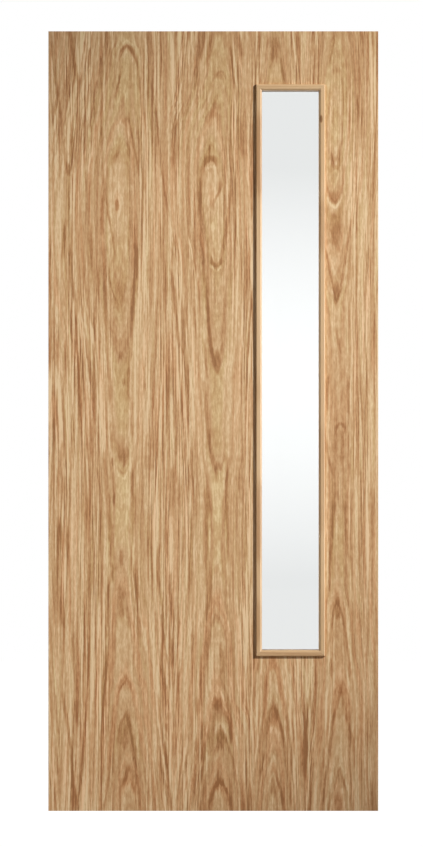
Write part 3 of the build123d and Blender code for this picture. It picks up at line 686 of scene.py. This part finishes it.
give("chipboard_core", board("chipboard", 81.0, [(0.25, lin(120, 88, 56)), (0.5, lin(176, 140, 96)), (0.75, lin(214, 182, 134))], 220.0, 0.85))
for j, n in enumerate(("front_skin", "back_skin")):
    give(n, board(f"fibreboard_{n}", 84.0 + 2 * j, [(0.3, lin(128, 94, 62)), (0.5, lin(152, 116, 80)), (0.7, lin(172, 136, 98))], 900.0, 0.8))

# ------------------------------------------------------------ glass and tapes
net = Net("clear_glass")
x, y, z = net.place()
film = net.noise3(x, y, z, 6.0, 6.0, 3.0, 91.0, 3.0, 0.6, False)
give(
    "glass_pane",
    net.surface((0.955, 0.975, 0.972, 1.0), net.remap(film, 0.3, 0.7, 0.0, 0.025), Transmission_Weight=1.0, IOR=1.5),
)

for j, n in enumerate(("front_glazing_tape", "back_glazing_tape")):
    net = Net(f"foam_{n}")
    x, y, z = net.place()
    cell = net.noise3(x, y, z, 1500.0, 1500.0, 1500.0, 95.0 + j, 2.0, 0.6, False)
    col = net.ramp(cell, [(0.3, lin(92, 92, 92)), (0.7, lin(132, 132, 130))])
    give(n, net.surface(col, 0.9, cell, 0.0003, 0.7))

# --------------------------------------------------------------------- stage
mesh = bpy.data.meshes.new("floor")
mesh.from_pydata([(-14, -16, 0), (15, -16, 0), (15, 7.5, 0), (-14, 7.5, 0)], [], [(0, 1, 2, 3)])
floor = bpy.data.objects.new("floor", mesh)
bpy.context.scene.collection.objects.link(floor)
net = Net("pale_floor")
x, y, z = net.place()
speck = net.noise2(x, y, 60.0, 60.0, 101.0, 3.0, 0.6, False)
dif = net.nt.nodes.new("ShaderNodeBsdfDiffuse")
net.put(dif.inputs["Color"], net.ramp(speck, [(0.3, (0.115, 0.115, 0.114, 1)), (0.7, (0.125, 0.125, 0.124, 1))]))
glow = net.nt.nodes.new("ShaderNodeEmission")
path = net.nt.nodes.new("ShaderNodeLightPath")
seen = net.mul(path.outputs["Is Camera Ray"], 1.0)
through = net.mul(path.outputs["Is Transmission Ray"], 0.78)
net.put(glow.inputs["Color"], net.mix(net.m("MAXIMUM", path.outputs["Is Camera Ray"], path.outputs["Is Transmission Ray"]), (1.0, 0.86, 0.72, 1), (1, 1, 1, 1)))
net.put(glow.inputs["Strength"], net.m("MAXIMUM", net.m("MAXIMUM", seen, through), 0.22))
both = net.nt.nodes.new("ShaderNodeAddShader")
net.nt.links.new(dif.outputs[0], both.inputs[0])
net.nt.links.new(glow.outputs[0], both.inputs[1])
net.nt.links.new(both.outputs[0], net.out.inputs["Surface"])
mesh.materials.append(net.mat)

world = bpy.data.worlds.new("studio")
bpy.context.scene.world = world
world.use_nodes = True
wt = world.node_tree
wt.nodes.clear()
wo = wt.nodes.new("ShaderNodeOutputWorld")
bg = wt.nodes.new("ShaderNodeBackground")
bg.inputs["Color"].default_value = (1, 1, 1, 1)
lp = wt.nodes.new("ShaderNodeLightPath")
# Lights softly, is seen white, and a shade less than white through the glass.
thru = wt.nodes.new("ShaderNodeMapRange")
wt.links.new(lp.outputs["Is Transmission Ray"], thru.inputs["Value"])
thru.inputs["To Min"].default_value = 0.03
thru.inputs["To Max"].default_value = 0.87
top = wt.nodes.new("ShaderNodeMath")
top.operation = "MAXIMUM"
wt.links.new(lp.outputs["Is Camera Ray"], top.inputs[0])
wt.links.new(thru.outputs[0], top.inputs[1])
wt.links.new(top.outputs[0], bg.inputs["Strength"])
wt.links.new(bg.outputs[0], wo.inputs["Surface"])


def sun(name, toward, strength, angle):
    """A far lamp; toward is the way from the door to the lamp."""
    d = bpy.data.lights.new(name, "SUN")
    d.energy = strength
    d.angle = math.radians(angle)
    o = bpy.data.objects.new(name, d)
    from mathutils import Vector

    o.rotation_mode = "QUATERNION"
    o.rotation_quaternion = Vector(toward).to_track_quat("Z", "Y")
    bpy.context.scene.collection.objects.link(o)
    return o


def panel(name, at, look, wide, high, radiance, fades=(0, 1)):
    """A soft box, brightest along its middle and fading to its edges, across it, up it or both."""
    from mathutils import Vector

    d = bpy.data.lights.new(name, "AREA")
    d.shape = "RECTANGLE"
    d.size, d.size_y = wide, high
    d.energy = radiance * math.pi * wide * high
    d.use_nodes = True
    t = d.node_tree
    t.nodes.clear()
    out = t.nodes.new("ShaderNodeOutputLight")
    em = t.nodes.new("ShaderNodeEmission")
    geo = t.nodes.new("ShaderNodeNewGeometry")
    sep = t.nodes.new("ShaderNodeSeparateXYZ")
    t.links.new(geo.outputs["Parametric"], sep.inputs[0])
    total = None
    for axis in fades:
        wave = t.nodes.new("ShaderNodeMath")
        wave.operation = "MULTIPLY"
        t.links.new(sep.outputs[axis], wave.inputs[0])
        wave.inputs[1].default_value = math.pi
        sine = t.nodes.new("ShaderNodeMath")
        sine.operation = "SINE"
        t.links.new(wave.outputs[0], sine.inputs[0])
        if total is None:
            total = sine
        else:
            both = t.nodes.new("ShaderNodeMath")
            both.operation = "MULTIPLY"
            t.links.new(total.outputs[0], both.inputs[0])
            t.links.new(sine.outputs[0], both.inputs[1])
            total = both
    t.links.new(total.outputs[0], em.inputs["Strength"])
    t.links.new(em.outputs[0], out.inputs["Surface"])
    o = bpy.data.objects.new(name, d)
    o.location = at
    o.rotation_mode = "QUATERNION"
    o.rotation_quaternion = (Vector(at) - Vector(look)).to_track_quat("Z", "Y")
    o.visible_camera = False
    o.visible_transmission = False
    bpy.context.scene.collection.objects.link(o)
    return o


def spot(name, aim, toward, far, power, cone, radius):
    """A far soft-edged lamp aimed at a point of the door, standing off that way from it."""
    from mathutils import Vector

    d = bpy.data.lights.new(name, "SPOT")
    d.energy = power
    d.spot_size = math.radians(cone)
    d.spot_blend = 1.0
    d.shadow_soft_size = radius
    o = bpy.data.objects.new(name, d)
    way = Vector(toward).normalized()
    o.location = Vector(aim) + way * far
    o.rotation_mode = "QUATERNION"
    o.rotation_quaternion = way.to_track_quat("Z", "Y")
    bpy.context.scene.collection.objects.link(o)
    return o


spot("key", (0.38, 0.0, 1.02), (1.22, -1.0, 0.97), 14.0, 9900.0, 12.0, 0.12)
fill = panel("front_fill", (0.65, -1.9, 1.13), (0.65, 0.0, 1.13), 0.9, 1.2, 1.6)
fill.visible_glossy = False
# Two that are only seen mirrored: one in the glass, one as a sheen on the beads' slopes.
glow = panel("glass_glow", (0.645, -1.86, 1.13), (0.645, 0.0, 1.13), 0.22, 1.2, 5.2, (1,))
glow.visible_diffuse = False
sheen = panel("side_strip", (2.9, -1.35, 1.1), (0.55, -0.02, 1.1), 0.5, 2.8, 30.0)
sheen.visible_diffuse = False
lit = bpy.data.collections.new("beads_in_sheen")
for n in nodes:
    if "_bead_" in n:
        lit.objects.link(nodes[n])
sheen.light_linking.receiver_collection = lit
behind = sun("back_key", (-0.9, 1.0, 0.3), 2.9, 4.0)
behind.visible_glossy = False

# -------------------------------------------------------------------- camera
cam_data = bpy.data.cameras.new("camera")
cam_data.sensor_width = 36.0
cam_data.lens = 200.74
cam = bpy.data.objects.new("camera", cam_data)
cam.location = (0.4144, -12.022, 0.9844)
cam.rotation_euler = (math.radians(90), 0, 0)
bpy.context.scene.collection.objects.link(cam)
bpy.context.scene.camera = cam

bpy.context.scene.view_settings.view_transform = "Standard"
bpy.context.scene.view_settings.look = "None"
